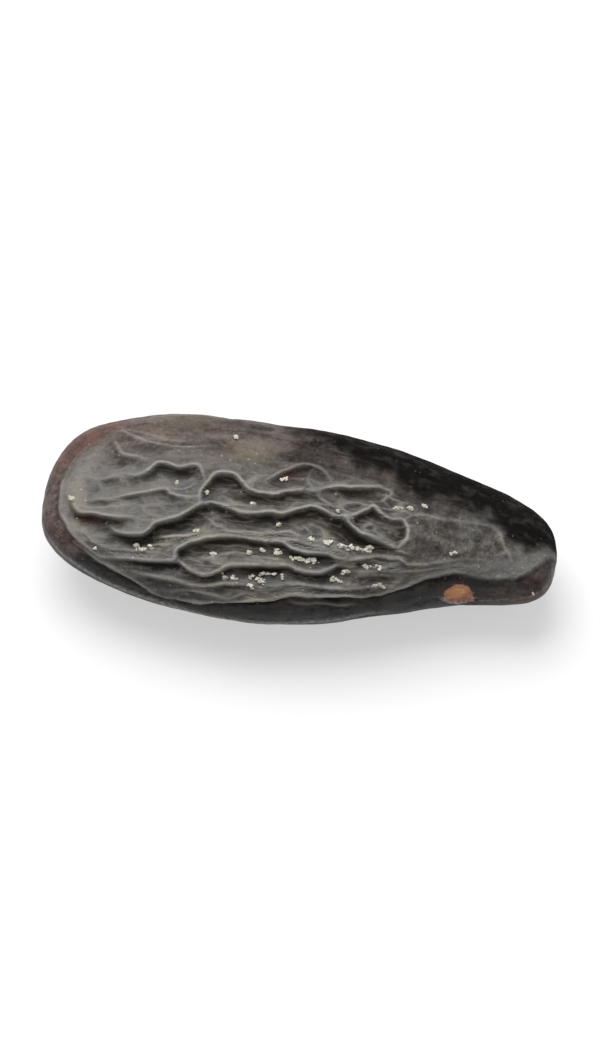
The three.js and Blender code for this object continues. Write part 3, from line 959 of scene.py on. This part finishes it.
class TONKA_OT_crystals(bpy.types.Operator):
    """Lodge crystals in the folds of the upper cheek"""

    bl_idname = "tonka.crystals"
    bl_label = "Make Crystals"
    bl_options = {"REGISTER", "UNDO"}

    def execute(self, context):
        skin = context.scene.objects.get("seed_skin")
        if skin is None:
            raise RuntimeError("the crystals lie on the seed, so it is made first")
        full_size = context.scene.tonka_finish.crystal_size
        spots = np.array([corner.co for corner in skin.data.vertices])
        normals = np.array([corner.normal for corner in skin.data.vertices])
        height = np.array([corner.value for corner in skin.data.attributes["height"].data])
        direction, _ = skin_grid()
        aims = place_directions([place for place, _, _ in CRYSTAL_HEAPS])
        draw = np.random.default_rng(CRYSTAL_SEED)
        points, faces, ages = [], [], []
        for aim, (_, length, count) in zip(aims, CRYSTAL_HEAPS):
            middle = spots[(direction @ aim).argmax()]
            near = np.argsort(((spots - middle) ** 2).sum(1))[:HEAP_CORNERS]
            centre = (middle + spots[near[height[near].argmin()]]) / 2
            reach = np.array((HEAP_LENGTH * length, HEAP_WIDTH, HEAP_WIDTH))
            for rank in range(count):
                place = centre + draw.normal(0, 1, 3) * reach * MM
                spot = ((spots - place) ** 2).sum(1).argmin()
                divisor = LARGE_DIVISOR if rank < 1 + count / 3 else SMALL_DIVISOR
                size = full_size * draw.uniform(0.6, 1) / divisor
                lump, lump_faces = crystal_lump(draw, size)
                base = spots[spot] + normals[spot] * size * draw.uniform(0, 0.6)
                faces += [[corner + len(points) for corner in face] for face in lump_faces]
                points += (lump + base).tolist()
                ages += [draw.uniform(0, 1)] * len(lump)
        material = crystal_material(context.scene.tonka_finish)
        piece = add_piece("coumarin_crystals", points, faces, material, smooth=False)
        add_mask(piece, "age", ages)
        return {"FINISHED"}


def crystal_lump(draw, size):
    """The corners and faces of one angular grain about its middle."""
    grain = bmesh.new()
    turn = Matrix.Rotation(draw.uniform(-0.6, 0.6), 3, "Z")
    for corner in draw.normal(0, 1, (12, 3)):
        corner = Vector(corner).normalized() * size * draw.uniform(0.8, 1.1)
        grain.verts.new(turn @ (corner * Vector(CRYSTAL_STRETCH)))
    hull = bmesh.ops.convex_hull(grain, input=grain.verts)
    bmesh.ops.delete(grain, geom=hull["geom_interior"], context="VERTS")
    grain.verts.index_update()
    points = [list(corner.co) for corner in grain.verts]
    faces = [[corner.index for corner in face.verts] for face in grain.faces]
    grain.free()
    return np.array(points), faces


class TONKA_OT_studio(bpy.types.Operator):
    """Set up the floor, the light and the camera"""

    bl_idname = "tonka.studio"
    bl_label = "Make Studio"
    bl_options = {"REGISTER", "UNDO"}

    def execute(self, context):
        studio = context.scene.tonka_studio
        middle = (SEED_LOW + SEED_HIGH) / 2
        mesh = bpy.data.meshes.new("studio_floor")
        reach = FLOOR_REACH
        corners = [(-reach, -reach, 0), (reach, -reach, 0), (reach, reach, 0), (-reach, reach, 0)]
        mesh.from_pydata(corners, [], [(0, 1, 2, 3)])
        mesh.materials.append(floor_material(studio))
        floor = bpy.data.objects.new("studio_floor", mesh)
        lamp = bpy.data.lights.new("key_lamp", "AREA")
        lamp.energy = studio.key_power
        lamp.size = LAMP_SIZE
        key = bpy.data.objects.new("key_lamp", lamp)
        key.matrix_world = aimed(Vector(LAMP_PLACE), middle)
        camera_data = bpy.data.cameras.new("camera")
        camera_data.sensor_fit = "HORIZONTAL"
        camera_data.lens = camera_data.sensor_width * studio.distance / studio.view_width
        camera = bpy.data.objects.new("camera", camera_data)
        around, up = studio.azimuth, studio.elevation
        way = Vector((math.sin(around) * math.cos(up), -math.cos(around) * math.cos(up), math.sin(up)))
        camera.matrix_world = aimed(middle + way * studio.distance, middle)
        for thing in (floor, key, camera):
            context.scene.collection.objects.link(thing)
        context.scene.camera = camera
        light_world(studio)
        context.scene.view_settings.view_transform = "Standard"
        return {"FINISHED"}


def aimed(place, target):
    """A placing at one point, turned so that -Z looks at another."""
    turn = (target - place).to_track_quat("-Z", "Y")
    return Matrix.Translation(place) @ turn.to_matrix().to_4x4()


class TONKA_PT_panel(bpy.types.Panel):
    """The seed's sizes, colours and studio"""

    bl_idname = "TONKA_PT_panel"
    bl_label = "Tonka Bean"
    bl_space_type = "VIEW_3D"
    bl_region_type = "UI"
    bl_category = "Tonka Bean"

    def draw(self, context):
        for group in ("tonka_shape", "tonka_finish", "tonka_studio"):
            settings = getattr(context.scene, group)
            box = self.layout.box()
            for name in settings.__annotations__:
                box.prop(settings, name)
        for step in (TONKA_OT_seed, TONKA_OT_crystals, TONKA_OT_studio):
            self.layout.operator(step.bl_idname)


CLASSES = (
    SeedShape, SeedFinish, SeedStudio, TONKA_OT_seed, TONKA_OT_crystals, TONKA_OT_studio, TONKA_PT_panel)


def register():
    for kind in CLASSES:
        bpy.utils.register_class(kind)
    bpy.types.Scene.tonka_shape = PointerProperty(type=SeedShape)
    bpy.types.Scene.tonka_finish = PointerProperty(type=SeedFinish)
    bpy.types.Scene.tonka_studio = PointerProperty(type=SeedStudio)


def unregister():
    del bpy.types.Scene.tonka_studio
    del bpy.types.Scene.tonka_finish
    del bpy.types.Scene.tonka_shape
    for kind in reversed(CLASSES):
        bpy.utils.unregister_class(kind)


def main():
    register()
    bpy.ops.tonka.seed()
    bpy.ops.tonka.crystals()
    bpy.ops.tonka.studio()


if __name__ == "__main__":
    main()
